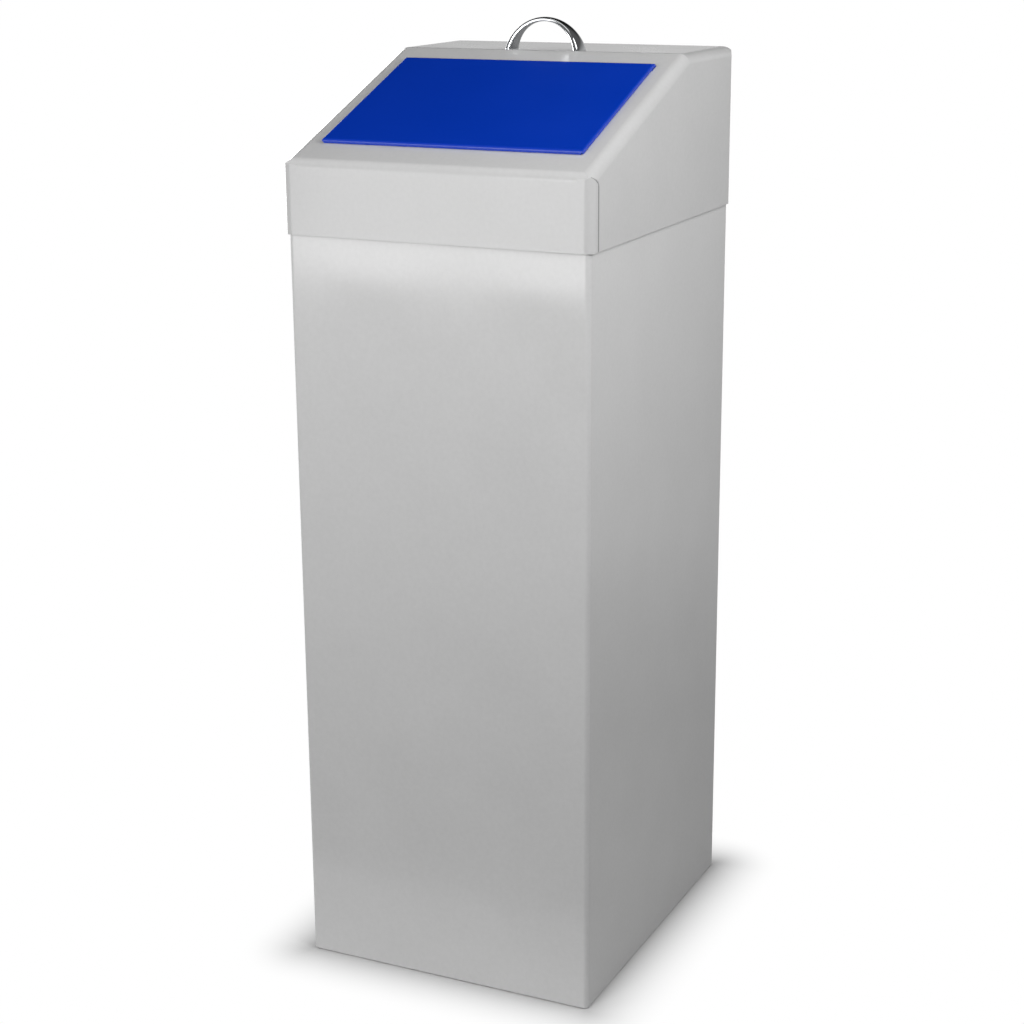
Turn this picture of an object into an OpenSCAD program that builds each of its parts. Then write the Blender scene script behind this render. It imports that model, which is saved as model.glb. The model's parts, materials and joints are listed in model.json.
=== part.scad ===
/* [Body] */
// Width of the steel body, left to right
body_w = 305; // [254:1:366]
// Depth of the steel body, front to back
body_d = 355; // [296:1:426]
// Height of the body's rim above the floor
body_rim_z = 764; // [560:1:920]
// Thickness of the folded sheet of the body and the hood
sheet_t = 1.0; // [0.8:0.1:1.5]
// Outer radius of the body's vertical corners
body_corner_r = 4.5; // [3:0.5:12]
// Height of the body's lower edge above the floor
floor_gap = 1.0; // [0.5:0.5:4]
// Width of the safe edge that is folded inwards round the rim
rim_fold_w = 6.5; // [5:0.5:8]
// Depth of the lip that hangs from that safe edge
rim_lip_h = 10; // [6:1:20]
// Width of the lap behind the butt seam in the back wall
seam_lap_w = 16; // [10:1:30]

/* [Base and feet] */
// Height of the base pan's top face above the floor
pan_top_z = 11.5; // [9:0.5:20]
// Thickness of the base pan
pan_t = 1.2; // [1:0.1:2]
// Radius of a foot where it meets the pan
foot_r = 14; // [10:1:18]
// Distance from the body's outer faces to a foot's centre
foot_inset = 32; // [28:1:50]
// Shank radius of the rivet that holds a foot
foot_rivet_r = 2.0; // [1.5:0.1:3]

/* [Hood] */
// Clearance between the body's faces and the inside of the hood
hood_play = 1.4; // [1:0.1:3]
// How far the hood reaches down over the body
hood_lap = 28.4; // [15:0.1:45]
// Height of the hood's front face, to the corner of the slope
hood_front_h = 68.6; // [55:0.1:85]
// Height of the hood, from its lower edge to the flat top
hood_h = 156.6; // [130:0.1:188]
// Depth of the flat top, from the crest of the slope to the back
hood_top_d = 126.2; // [105:0.1:152]
// Outer radius of the bends round the slope and the flat top
roof_bend_r = 10; // [6:0.5:12]
// Outer radius of the hood's vertical corners
hood_corner_r = 7.5; // [5:0.5:10]
// How far the front panel's tabs lap back over the sides
tab_w = 12; // [9:0.5:20]
// Drop from the slope's corner to the top of those tabs
tab_drop = 2.3; // [2:0.1:4.4]
// Height of the slanting cut across the upper corner of those tabs
tab_cut_h = 6.3; // [4:0.1:9]
// Radius at both ends of that cut
tab_corner_r = 2.5; // [1:0.5:3]
// Width of the ledges that rest on the body's rim
rest_w = 9.2; // [7:0.1:12]
// Height of the ledges' upright leg
rest_h = 14; // [8:1:20]
// Thickness of the ledges
rest_t = 1.2; // [1:0.1:2]
// Length of the ledges
rest_len = 240; // [120:1:260]

/* [Aperture] */
// Distance from the slope's lower corner to the aperture
aperture_s = 52; // [43:1:70]
// Distance from the hood's sides to the aperture
aperture_margin = 34.9; // [30:0.1:50]
// Depth of the flange turned down at the front and the sides
aperture_flange_h = 9; // [5:1:14]
// Depth of the flange turned down at the back, which carries the hinges
hinge_flange_h = 16; // [14:1:20]

/* [Flap] */
// How far the flap laps over the slope at each side of the aperture
flap_side_lap = 11.8; // [9.5:0.1:15]
// How far the flap laps over the slope in front of the aperture
flap_front_lap = 15.3; // [12:0.1:19]
// Distance from the crest of the slope back down to the hinge axis
hinge_margin = 34; // [28:0.5:50]
// Height of the flap's top face above the slope
flap_proud = 4.2; // [3.5:0.1:5]
// Gap between the lips of the flap and the slope
lip_gap = 0.3; // [0.2:0.1:0.6]
// Outer radius of the bend over the front lip
lip_bend_r = 2.5; // [1.5:0.1:3]
// Outer radius of the bends over the side lips
side_bend_r = 1.5; // [1.2:0.1:2.5]
// Outer radius of the rolled back edge, which turns about the hinge axis
roll_r = 5.5; // [5.4:0.1:6.5]
// Angle to which the roll is carried on below the axis
roll_end = 35; // [20:1:40]
// Size of the relief in the lower corners of the front lip
lip_relief = 1.6; // [1:0.1:2.5]
// Radius of the rubber buffers under the flap
buffer_r = 3.8; // [2.5:0.1:4.2]

/* [Hinge] */
// Radius of the hinge rod
rod_r = 2.0; // [1.5:0.1:2.2]
// Outer radius of the nylon bushes on the rod
bush_r = 3.0; // [2.8:0.1:3.2]
// Length of each bush
bush_len = 24; // [16:1:30]
// Thickness of the hinge straps
strap_t = 1.1; // [0.9:0.1:1.2]
// Width of the hinge straps
strap_w = 22; // [12:1:28]
// Distance from the flap's ends to the middles of the straps
strap_inset = 37; // [30:0.5:60]

/* [Lift handle] */
// Length of the handle over its feet
handle_len = 81; // [72:1:100]
// Height of the handle over the flat top
handle_h = 31.3; // [26:0.1:36]
// Thickness of the handle at its crown
handle_crown_t = 4.8; // [3.5:0.1:6]
// Width of each foot along the handle
handle_foot_len = 7; // [6:0.5:10]
// Width of the handle at its feet, front to back
handle_foot_w = 18; // [14:0.5:19]
// Width of the handle at its crown, front to back
handle_crown_w = 10; // [8:0.5:12]
// Radius of the waist that narrows the handle from its feet to its crown
handle_waist_r = 90; // [70:5:150]
// Radius across the rounded back of the handle
handle_back_r = 10; // [9.8:0.1:20]
// Radius across the rounded underside of the handle
handle_belly_r = 12; // [10:0.5:30]
// Distance from the crest of the slope to the middle of the handle
handle_setback = 12.6; // [12:0.1:60]
// Shank radius of the handle's screws
screw_r = 2.0; // [1.5:0.1:2.5]

/* [Liner] */
// Clearance between the body's inner faces and the liner
liner_play = 10.5; // [9:0.5:20]
// Thickness of the galvanised sheet
liner_t = 0.8; // [0.6:0.1:1.2]
// Drop from the body's rim to the liner's wired edge
liner_drop = 24; // [20:1:80]
// Outer radius of the liner's vertical corners
liner_corner_r = 14; // [8:1:30]
// Radius of the wired edge round the mouth
bead_r = 2.5; // [2:0.1:3.5]
// Height of the liner's floor above its lower edge
liner_floor_h = 6; // [4:1:15]

/* [Bails] */
// Radius of the bail wire
wire_r = 2.5; // [2:0.1:3]
// Distance between the middles of a bail's legs
bail_w = 110; // [80:1:150]
// Drop from the pivots to the grip
bail_drop = 55; // [45:1:70]
// Bend radius of the wire, to its middle
wire_bend_r = 9; // [6:0.5:14]
// Drop from the liner's edge to the pivots
pivot_drop = 22; // [16:1:40]
// Thickness of the lugs
lug_t = 1.5; // [1.2:0.1:2]
// Distance from the liner's wall to the middle of the pivots
pivot_reach = 6; // [5:0.5:9]

/* [Hidden] */

paint = "gainsboro";
flap_blue = "royalblue";
zinc = "silver";
plated = "whitesmoke";
rubber = "dimgray";
nylon = "ivory";

// Small clearances and overlaps
seat_gap = 0.3;
slip_fit = 0.05;
press_fit = 0.02;
past = 1;
big = 2000;

// Body
body_x = body_w / 2;
body_y = body_d / 2;
body_inner_r = body_corner_r - sheet_t;
seam_gap = 0.6;
foot_x = body_x - foot_inset;
foot_y = body_y - foot_inset;
foot_top_z = pan_top_z - pan_t;
foot_taper = 1.5;
foot_edge_r = 1.5;
rivet_head_h = 1.2;
rivet_head_grow = 2.0;
foot_recess_z = 4;
foot_recess_r = 6;

// Hood, whose corners are given as they would be without the bends
hood_x = body_x + hood_play + sheet_t;
hood_y = body_y + hood_play + sheet_t;
hood_low_z = body_rim_z - hood_lap;
corner_z = hood_low_z + hood_front_h;
top_z = hood_low_z + hood_h;
crest_y = hood_y - hood_top_d;
slope_rise = top_z - corner_z;
slope_run = crest_y + hood_y;
slope_angle = atan2(slope_rise, slope_run);
slope_len = norm([slope_run, slope_rise]);
tab_top_w = 3;
tab_fade_drop = 0.4;
tab_fade_angle = 15;

// Flap and hinge, in the slope's own frame: x, distance up the slope, height over it
aperture_x = hood_x - aperture_margin;
flap_x = aperture_x + flap_side_lap;
flap_s = aperture_s - flap_front_lap;
hinge_s = slope_len - hinge_margin;
hinge_n = flap_proud - roll_r;
roll_gap = 0.6;
hinge_edge_s = hinge_s + roll_r + roll_gap;
notch_s = hinge_s - roll_r - roll_gap;
notch_x = flap_x + roll_gap;
buffer_x = (aperture_x + flap_x - sheet_t) / 2;
buffer_inset = 20;
strap_x = flap_x - strap_inset;
shelf_drop = roll_r + 2.7;

// Handle, as two arcs through its crown and its feet
handle_y = crest_y + handle_setback;
handle_x = handle_len / 2;
handle_inner_x = handle_x - handle_foot_len;
handle_inner_h = handle_h - handle_crown_t;
handle_outer_r = arc_radius(handle_x, handle_h);
handle_inner_r = arc_radius(handle_inner_x, handle_inner_h);
screw_x = handle_x - handle_foot_len / 2;
screw_depth = 4.5;
screw_head_r = 4;
screw_head_h = 2.4;
washer_r = 5;
washer_t = 0.8;

// Liner
liner_x = body_x - sheet_t - liner_play;
liner_y = body_y - sheet_t - liner_play;
liner_low_z = pan_top_z + seat_gap;
liner_top_z = body_rim_z - liner_drop;
liner_inner_x = liner_x - liner_t;
bead_x = liner_x - liner_t / 2;
bead_y = liner_y - liner_t / 2;
bead_corner_r = liner_corner_r - liner_t / 2;

// Bails and lugs
pivot_x = liner_inner_x - pivot_reach;
pivot_z = liner_top_z - pivot_drop;
leg_y = bail_w / 2;
lug_gap = 0.5;
lug_y = leg_y + wire_r + lug_gap;
lug_eye_r = 6;
lug_base_len = 26;
lug_h = 22;
pin_len = wire_r + lug_gap + lug_t + 2;
lug_rivet_r = 2;
lug_rivet_head_r = 3.6;
lug_rivet_y = [9, 19];

// Radius of the arc that rises h over a half chord c.
function arc_radius(c, h) = (c * c + h * h) / (2 * h);

function toward(p, q) = (q - p) / norm(q - p);

// Closed outline with true arcs at its corners, each given as [x, y, radius].
module rounded_outline(c) {
  n = len(c);
  function at(i) = [c[(i + n) % n][0], c[(i + n) % n][1]];
  function back(i) = toward(at(i), at(i - 1));
  function ahead(i) = toward(at(i), at(i + 1));
  function half(i) = acos(back(i) * ahead(i)) / 2;
  function run(i) = c[i][2] / tan(half(i));
  function mid(i) = at(i) + toward([0, 0], back(i) + ahead(i)) * c[i][2] / sin(half(i));
  polygon([for (i = [0:n - 1]) each c[i][2] == 0 ? [at(i)]
    : [at(i) + back(i) * run(i), mid(i), at(i) + ahead(i) * run(i)]]);
  for (i = [0:n - 1])
    if (c[i][2] > 0)
      translate(mid(i))
        circle(r = c[i][2], $fn = 64);
}

// Rectangle with rounded corners, by its half sizes.
module plan(hx, hy, r) {
  rounded_outline([[-hx, -hy, r], [hx, -hy, r], [hx, hy, r], [-hx, hy, r]]);
}

// Upright tube of sheet, by the half sizes of its outer face.
module sheet_tube(hx, hy, r, t, h) {
  difference() {
    linear_extrude(h)
      plan(hx, hy, r);
    translate([0, 0, -past])
      linear_extrude(h + 2 * past)
        plan(hx - t, hy - t, r - t);
  }
}

// Extrudes an outline drawn in y and z along x, over the span from x0 to x1.
module along_x(x0, x1) {
  translate([x0, 0, 0])
    rotate([90, 0, 90])
      linear_extrude(x1 - x0)
        children();
}

// Places children, drawn as x, distance up the slope and height over it.
module on_slope() {
  translate([0, -hood_y, corner_z])
    rotate([slope_angle, 0, 0])
      children();
}

module both_sides() {
  children();
  mirror([1, 0, 0])
    children();
}

module four_ways(x, y) {
  for (sx = [-1, 1], sy = [-1, 1])
    translate([sx * x, sy * y, 0])
      children();
}

// Folded wrap with a safe edge at the rim and a butt seam down its back.
module body_shell() {
  shell_h = body_rim_z - floor_gap;
  lip_x = body_x - rim_fold_w + sheet_t;
  lip_y = body_y - rim_fold_w + sheet_t;
  lip_r = body_inner_r;
  color(paint) {
    difference() {
      translate([0, 0, floor_gap])
        sheet_tube(body_x, body_y, body_corner_r, sheet_t, shell_h);
      translate([-seam_gap / 2, body_y - sheet_t - past, -past])
        cube([seam_gap, sheet_t + 2 * past, body_rim_z - sheet_t + past]);
    }
    translate([0, 0, body_rim_z - sheet_t])
      difference() {
        linear_extrude(sheet_t)
          plan(body_x - sheet_t / 2, body_y - sheet_t / 2, body_corner_r - sheet_t / 2);
        translate([0, 0, -past])
          linear_extrude(sheet_t + 2 * past)
            plan(lip_x - sheet_t, lip_y - sheet_t, lip_r - sheet_t);
      }
    translate([0, 0, body_rim_z - rim_lip_h])
      sheet_tube(lip_x, lip_y, lip_r, sheet_t, rim_lip_h);
    translate([-seam_lap_w / 2, body_y - 2 * sheet_t, floor_gap])
      cube([seam_lap_w, sheet_t, shell_h - rim_lip_h - past]);
  }
}

// Tray, turned down all round, that closes the foot of the body.
module base_pan() {
  pan_x = body_x - sheet_t;
  pan_y = body_y - sheet_t;
  pan_low_z = floor_gap + 0.5;
  lap_slot = seam_lap_w + 2 * slip_fit;
  color(paint)
    difference() {
      translate([0, 0, pan_low_z])
        linear_extrude(pan_top_z - pan_low_z)
          plan(pan_x, pan_y, body_inner_r);
      translate([0, 0, pan_low_z - past])
        linear_extrude(foot_top_z - pan_low_z + past)
          plan(pan_x - pan_t, pan_y - pan_t, body_inner_r - pan_t);
      translate([-lap_slot / 2, pan_y - sheet_t - slip_fit, 0])
        cube([lap_slot, 2 * sheet_t, pan_top_z + past]);
      four_ways(foot_x, foot_y)
        cylinder(r = foot_rivet_r + slip_fit, h = pan_top_z + past, $fn = 32);
    }
}

// Round rubber feet with a recess for the rivet's head.
module rubber_feet() {
  color(rubber)
    four_ways(foot_x, foot_y)
      difference() {
        rotate_extrude($fn = 64)
          rounded_foot_half();
        translate([0, 0, -past])
          cylinder(r = foot_recess_r, h = foot_recess_z + past, $fn = 48);
        cylinder(r = foot_rivet_r + slip_fit, h = foot_top_z + past, $fn = 32);
      }
}

module rounded_foot_half() {
  intersection() {
    rounded_outline([[-foot_r, 0, 0], [foot_r - foot_taper, 0, foot_edge_r],
      [foot_r, foot_top_z, 0], [-foot_r, foot_top_z, 0]]);
    square([foot_r, foot_top_z]);
  }
}

// Rivet along z: head below its own origin, tail above the grip.
module rivet(r, head_r, grip) {
  translate([0, 0, -rivet_head_h])
    cylinder(r1 = head_r - 1, r2 = head_r, h = rivet_head_h, $fn = 32);
  cylinder(r = r, h = grip, $fn = 32);
  translate([0, 0, grip])
    cylinder(r1 = head_r - 0.5, r2 = head_r - 1.5, h = rivet_head_h, $fn = 32);
}

module foot_rivets() {
  color(zinc)
    four_ways(foot_x, foot_y)
      translate([0, 0, foot_recess_z])
        rivet(foot_rivet_r, foot_rivet_r + rivet_head_grow, pan_top_z - foot_recess_z);
}

// The hood as a solid, drawn in by k from its outer faces and rounded along every bend.
module hood_form(k, low_z) {
  x = hood_x - k;
  y = hood_y - k;
  top = top_z - k;
  bend = roof_bend_r - k;
  drop = k / cos(slope_angle);
  front_z = corner_z + k * tan(slope_angle) - drop;
  peak_y = -hood_y + (top - corner_z + drop) / tan(slope_angle);
  intersection() {
    along_x(-x, x)
      rounded_outline([[-y, low_z, 0], [y, low_z, 0], [y, top, bend], [peak_y, top, bend],
        [-y, front_z, bend]]);
    linear_extrude(top + past)
      plan(x, y, hood_corner_r - k);
    rotate([90, 0, 0])
      linear_extrude(big, center = true)
        roof_section(x, top, bend, low_z);
    on_slope()
      rotate([90, 0, 0])
        linear_extrude(big, center = true)
          roof_section(x, -k, bend, -big);
  }
}

// Section across the hood: upright sides and a flat roof with rounded shoulders.
module roof_section(x, top, bend, low) {
  rounded_outline([[-x, low, 0], [x, low, 0], [x, top, bend], [-x, top, bend]]);
}

// Tab of the front panel, wrapped round the corner and lapped over the right side. Its top leans
// back into the hood's front bend, so that it fades out there.
module front_tab() {
  tab_x = hood_x + sheet_t;
  tab_top_z = corner_z - tab_drop;
  tab_end_y = -hood_y + tab_w;
  fade_low_z = corner_z - roof_bend_r * tan(45 - slope_angle / 2) - tab_fade_drop;
  fade_y = (tab_top_z - fade_low_z) * tan(tab_fade_angle);
  intersection() {
    translate([0, 0, hood_low_z])
      linear_extrude(hood_front_h)
        plan(tab_x, hood_y, hood_corner_r + sheet_t);
    on_slope()
      rotate([90, 0, 0])
        linear_extrude(big, center = true)
          roof_section(tab_x, sheet_t, roof_bend_r + sheet_t, -big);
    along_x(hood_x - 2 * hood_corner_r, tab_x + past)
      rounded_outline([[-hood_y - past, hood_low_z, 0], [tab_end_y, hood_low_z, 0],
        [tab_end_y, tab_top_z - tab_cut_h, tab_corner_r],
        [-hood_y + tab_top_w, tab_top_z, tab_corner_r], [-hood_y + fade_y, tab_top_z, 0],
        [-hood_y, fade_low_z, 0], [-hood_y - past, fade_low_z, 0]]);
  }
}

// Flange turned down round the aperture, with its sheet on the aperture's outer side.
module aperture_flange(x, s0, s1, depth) {
  translate([-x - sheet_t, s0 - sheet_t, -depth])
    difference() {
      cube([2 * (x + sheet_t), s1 - s0 + 2 * sheet_t, depth - sheet_t / 2]);
      translate([sheet_t, sheet_t, -past])
        cube([2 * x, s1 - s0, depth + 2 * past]);
    }
}

// Flange on the hinge side only, across the full width of the roll.
module hinge_flange() {
  translate([-notch_x, hinge_edge_s, -hinge_flange_h])
    cube([2 * notch_x, sheet_t, hinge_flange_h - sheet_t / 2]);
}

// Folded hood: slope, flat top and four sides, the front panel lapped over the sides.
module hood_shell() {
  color(paint)
    difference() {
      union() {
        difference() {
          union() {
            hood_form(0, hood_low_z);
            both_sides()
              front_tab();
          }
          hood_form(sheet_t, hood_low_z - past);
        }
        on_slope() {
          aperture_flange(aperture_x, aperture_s, notch_s + sheet_t, aperture_flange_h);
          hinge_flange();
        }
      }
      on_slope() {
        translate([-aperture_x, aperture_s, -big / 2])
          cube([2 * aperture_x, notch_s - aperture_s + past, big]);
        translate([-notch_x, notch_s, -aperture_flange_h - past])
          cube([2 * notch_x, hinge_edge_s - notch_s, aperture_flange_h + roof_bend_r]);
      }
      both_sides()
        translate([screw_x, handle_y, top_z - sheet_t - past])
          cylinder(r = screw_r + 0.25, h = sheet_t + 2 * past, $fn = 32);
    }
}

// Angle on the right side of the hood, which sits on the body's rim.
module hood_rest() {
  rest_z = body_rim_z + seat_gap;
  inner_x = hood_x - sheet_t;
  translate([inner_x - rest_w, -rest_len / 2, rest_z])
    cube([rest_w, rest_len, rest_t]);
  translate([inner_x - rest_t, -rest_len / 2, rest_z])
    cube([rest_t, rest_len, rest_h]);
}

module hood_rest_left() {
  color(paint)
    mirror([1, 0, 0])
      hood_rest();
}

module hood_rest_right() {
  color(paint)
    hood_rest();
}

// Strap wrapped round the bush, led below the roll and down the hinge flange.
module hinge_strap(x) {
  eye_r = bush_r + strap_t;
  tab_a = hinge_edge_s - hinge_s;
  low = hinge_n + hinge_flange_h - past;
  color(zinc)
    on_slope()
      translate([0, hinge_s, hinge_n])
        along_x(x - strap_w / 2, x + strap_w / 2)
          difference() {
            union() {
              circle(r = eye_r, $fn = 64);
              translate([-eye_r, -shelf_drop])
                square([strap_t, shelf_drop]);
              translate([-eye_r, -shelf_drop])
                square([tab_a + eye_r, strap_t]);
              translate([tab_a - strap_t, -low])
                square([strap_t, low - shelf_drop + strap_t]);
            }
            circle(r = bush_r, $fn = 64);
          }
}

module hinge_strap_left() {
  hinge_strap(-strap_x);
}

module hinge_strap_right() {
  hinge_strap(strap_x);
}

module hinge_bushes() {
  color(nylon)
    on_slope()
      translate([0, hinge_s, hinge_n])
        for (x = [-strap_x, strap_x])
          along_x(x - bush_len / 2, x + bush_len / 2)
            difference() {
              circle(r = bush_r - press_fit, $fn = 64);
              circle(r = rod_r + slip_fit, $fn = 64);
            }
}

module flap_buffers() {
  buffer_h = flap_proud - sheet_t - seat_gap;
  color(rubber)
    on_slope()
      for (x = [-buffer_x, buffer_x], s = [aperture_s, notch_s - buffer_inset])
        translate([x, s, 0])
          cylinder(r1 = buffer_r, r2 = buffer_r - 0.8, h = buffer_h, $fn = 48);
}

// Bow with a rounded back and underside, waisted from its feet towards its crown.
module lift_handle() {
  color(plated)
    translate([0, handle_y, top_z])
      difference() {
        intersection() {
          translate([0, 0, handle_h - handle_outer_r])
            rotate([90, 0, 0])
              rotate_extrude($fn = 128)
                translate([handle_outer_r - handle_back_r, 0])
                  circle(r = handle_back_r, $fn = 64);
          linear_extrude(handle_h + past)
            difference() {
              square([handle_len, handle_foot_w], center = true);
              for (side = [-1, 1])
                translate([0, side * (handle_crown_w / 2 + handle_waist_r)])
                  circle(r = handle_waist_r, $fn = 360);
            }
        }
        translate([0, 0, handle_inner_h - handle_inner_r])
          rotate([90, 0, 0])
            rotate_extrude($fn = 128)
              handle_bore_half();
        both_sides()
          translate([screw_x, 0, -past])
            cylinder(r = screw_r + slip_fit, h = screw_depth + past, $fn = 32);
      }
}

// Half section of the space under the bow, hollowed out by the rounded underside.
module handle_bore_half() {
  difference() {
    translate([0, -handle_foot_w])
      square([handle_inner_r + handle_belly_r, 2 * handle_foot_w]);
    translate([handle_inner_r + handle_belly_r, 0])
      circle(r = handle_belly_r, $fn = 64);
  }
}

// Pan-head screws put in from below, through the washers and the flat top.
module handle_screws() {
  head_z = top_z - sheet_t - washer_t - screw_head_h;
  color(zinc)
    both_sides()
      translate([screw_x, handle_y, 0]) {
        translate([0, 0, head_z])
          cylinder(r1 = screw_head_r - 0.8, r2 = screw_head_r, h = screw_head_h, $fn = 48);
        translate([0, 0, head_z + screw_head_h])
          cylinder(r = screw_r, h = washer_t + sheet_t + screw_depth - seat_gap, $fn = 32);
      }
}

module handle_washers() {
  color(zinc)
    both_sides()
      translate([screw_x, handle_y, top_z - sheet_t - washer_t])
        difference() {
          cylinder(r = washer_r, h = washer_t, $fn = 48);
          translate([0, 0, -past])
            cylinder(r = screw_r + 0.2, h = washer_t + 2 * past, $fn = 32);
        }
}

// Section through the flap, drawn in by k: tray, front bend and the roll about the axis.
module flap_section(k, low) {
  top = flap_proud - k;
  deep = low - 2 * lip_bend_r;
  intersection() {
    rounded_outline([[flap_s + k, deep, 0], [hinge_s, deep, 0], [hinge_s, top, 0],
      [flap_s + k, top, lip_bend_r - k]]);
    translate([0, low])
      square([hinge_s, top - low]);
  }
  translate([hinge_s, hinge_n])
    circle(r = roll_r - k, $fn = 96);
}

// Everything under the flap's sheet, with the mouth that leaves the roll open below.
module flap_hollow() {
  mouth = 3 * roll_r;
  flap_section(sheet_t, -mouth);
  translate([hinge_s, hinge_n])
    polygon([[0, 0], [mouth, -mouth * tan(roll_end)], [mouth, -mouth], [-mouth, -mouth]]);
}

// Shallow tray with a lip at the front and sides and a rolled edge round the hinge rod.
module flap_panel() {
  inner_x = flap_x - sheet_t;
  color(flap_blue)
    on_slope()
      difference() {
        intersection() {
          along_x(-flap_x, flap_x)
            flap_section(0, lip_gap);
          translate([0, hinge_edge_s, 0])
            rotate([90, 0, 0])
              linear_extrude(hinge_edge_s - flap_s + past)
                roof_section(flap_x, flap_proud, side_bend_r, hinge_n - roll_r - past);
        }
        along_x(-inner_x, inner_x)
          flap_hollow();
        translate([0, hinge_s, hinge_n])
          along_x(-flap_x - past, flap_x + past)
            circle(r = rod_r + press_fit, $fn = 48);
        both_sides()
          translate([flap_x - lip_relief, flap_s - past, lip_gap - past])
            cube(lip_relief + past);
      }
}

module hinge_rod() {
  color(zinc)
    on_slope()
      translate([0, hinge_s, hinge_n])
        along_x(-flap_x, flap_x)
          circle(r = rod_r, $fn = 48);
}

// Quarter of the wired edge, from the middle of one side to the middle of the next.
module bead_quarter() {
  side_x = bead_x - bead_corner_r;
  side_y = bead_y - bead_corner_r;
  translate([side_x, side_y, 0])
    rotate_extrude(angle = 90, $fn = 96)
      translate([bead_corner_r, 0])
        circle(r = bead_r, $fn = 48);
  translate([0, bead_y, 0])
    rotate([0, 90, 0])
      cylinder(r = bead_r, h = side_x, $fn = 48);
  translate([bead_x, 0, 0])
    rotate([-90, 0, 0])
      cylinder(r = bead_r, h = side_y, $fn = 48);
}

// Galvanised wall with a wired edge round its mouth.
module liner_shell() {
  color(zinc)
    difference() {
      union() {
        translate([0, 0, liner_low_z])
          sheet_tube(liner_x, liner_y, liner_corner_r, liner_t, liner_top_z - bead_r - liner_low_z);
        translate([0, 0, liner_top_z - bead_r])
          for (turn = [0, 1])
            mirror([turn, 0, 0])
              both_ends()
                bead_quarter();
      }
      lug_rivet_places()
        translate([0, 0, -liner_t - past])
          cylinder(r = lug_rivet_r + press_fit, h = liner_t + 2 * past, $fn = 32);
    }
}

module both_ends() {
  children();
  mirror([0, 1, 0])
    children();
}

// Tray turned down all round, set into the foot of the wall.
module liner_floor() {
  tray_y = liner_y - liner_t;
  tray_r = liner_corner_r - liner_t;
  color(zinc)
    difference() {
      translate([0, 0, liner_low_z])
        linear_extrude(liner_floor_h + liner_t)
          plan(liner_inner_x, tray_y, tray_r);
      translate([0, 0, liner_low_z - past])
        linear_extrude(liner_floor_h + past)
          plan(liner_inner_x - liner_t, tray_y - liner_t, tray_r - liner_t);
    }
}

// Pair of lugs on the right wall, each an ear for the bail and a base for two rivets.
module bail_lugs() {
  ear_inner_x = pivot_x;
  both_ends() {
    difference() {
      union() {
        translate([ear_inner_x, lug_y, pivot_z - lug_eye_r])
          cube([liner_inner_x - ear_inner_x, lug_t, 2 * lug_eye_r]);
        translate([pivot_x, lug_y, pivot_z])
          rotate([-90, 0, 0])
            cylinder(r = lug_eye_r, h = lug_t, $fn = 48);
      }
      translate([pivot_x, lug_y - past, pivot_z])
        rotate([-90, 0, 0])
          cylinder(r = wire_r + slip_fit, h = lug_t + 2 * past, $fn = 48);
    }
    difference() {
      translate([liner_inner_x - lug_t, lug_y, pivot_z - lug_h / 2])
        cube([lug_t, lug_base_len, lug_h]);
      for (y = lug_rivet_y)
        translate([liner_inner_x - lug_t - past, lug_y + y, pivot_z])
          rotate([0, 90, 0])
            cylinder(r = lug_rivet_r + press_fit, h = lug_t + 2 * past, $fn = 32);
    }
  }
}

module bail_lugs_left() {
  color(zinc)
    mirror([1, 0, 0])
      bail_lugs();
}

module bail_lugs_right() {
  color(zinc)
    bail_lugs();
}

// Puts children at each lug rivet, with z leading in from the liner's inner face.
module lug_rivet_places() {
  both_sides()
    both_ends()
      for (y = lug_rivet_y)
        translate([liner_inner_x, lug_y + y, pivot_z])
          rotate([0, -90, 0])
            children();
}

module lug_rivets() {
  color(zinc)
    lug_rivet_places()
      translate([0, 0, -liner_t])
        rivet(lug_rivet_r, lug_rivet_head_r, liner_t + lug_t);
}

// Wire bail on the right wall, hanging from its two pivots.
module bail() {
  leg_len = bail_drop - wire_bend_r;
  translate([pivot_x, 0, pivot_z])
    both_ends() {
      translate([0, leg_y - wire_r, 0])
        rotate([-90, 0, 0])
          cylinder(r = wire_r, h = wire_r + pin_len, $fn = 48);
      translate([0, leg_y, -leg_len])
        cylinder(r = wire_r, h = leg_len, $fn = 48);
      translate([0, leg_y - wire_bend_r, -leg_len])
        rotate([90, 0, 90])
          rotate_extrude(angle = -90, $fn = 96)
            translate([wire_bend_r, 0])
              circle(r = wire_r, $fn = 48);
      translate([0, 0, -bail_drop])
        rotate([-90, 0, 0])
          cylinder(r = wire_r, h = leg_y - wire_bend_r, $fn = 48);
    }
}

module bail_left() {
  color(plated)
    mirror([1, 0, 0])
      bail();
}

module bail_right() {
  color(plated)
    bail();
}

body_shell();
base_pan();
rubber_feet();
foot_rivets();
hood_shell();
hood_rest_left();
hood_rest_right();
hinge_strap_left();
hinge_strap_right();
hinge_bushes();
flap_buffers();
lift_handle();
handle_screws();
handle_washers();
flap_panel();
hinge_rod();
liner_shell();
liner_floor();
bail_lugs_left();
bail_lugs_right();
lug_rivets();
bail_left();
bail_right();
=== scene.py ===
"""Looks of a recycling bin in folded sheet steel: finishes, fasteners, studio and camera."""

import json
import math

import bmesh
import bpy
from mathutils import Matrix, Vector


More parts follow.
